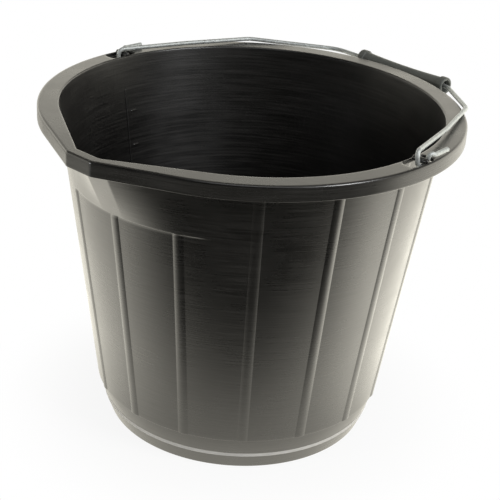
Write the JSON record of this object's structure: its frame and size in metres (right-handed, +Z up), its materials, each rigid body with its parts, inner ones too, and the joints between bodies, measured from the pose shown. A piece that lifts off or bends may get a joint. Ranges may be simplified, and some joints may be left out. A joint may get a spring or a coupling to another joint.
{
  "type": "bucket",
  "caption": "Tapered round bucket with ribbed wall, flat flanged rim and pouring spout, carried by a hooked wire bail with a turning grip.",
  "frame": {"origin": "on the floor, at the centre of the foot ring", "axes": "+Z up along the bucket's axis, spout towards -Y, bail hooks at +X and -X, bail at rest over the rim towards +Y"},
  "size_m": [0.334, 0.361, 0.2752],
  "materials": {
    "body_plastic": "satin black, self-coloured",
    "bail_steel": "bright galvanised",
    "grip_plastic": "matt dark grey"
  },
  "bodies": {
    "bucket": {"bucket_body": "body_plastic"},
    "bail": {"bail_wire": "bail_steel"},
    "grip": {"grip": "grip_plastic"}
  },
  "joints": [
    {"name": "bail_swing", "type": "hinge", "parent": "bucket", "child": "bail", "pos_m": [0, 0.0055, 0.2662], "axis": [1, 0, 0], "range_deg": [0, 130]},
    {"name": "grip_spin", "type": "hinge", "parent": "bail", "child": "grip", "pos_m": [0.01746, 0.17218, 0.2626], "axis": [0.9973, -0.0732, 0], "continuous": true}
  ]
}
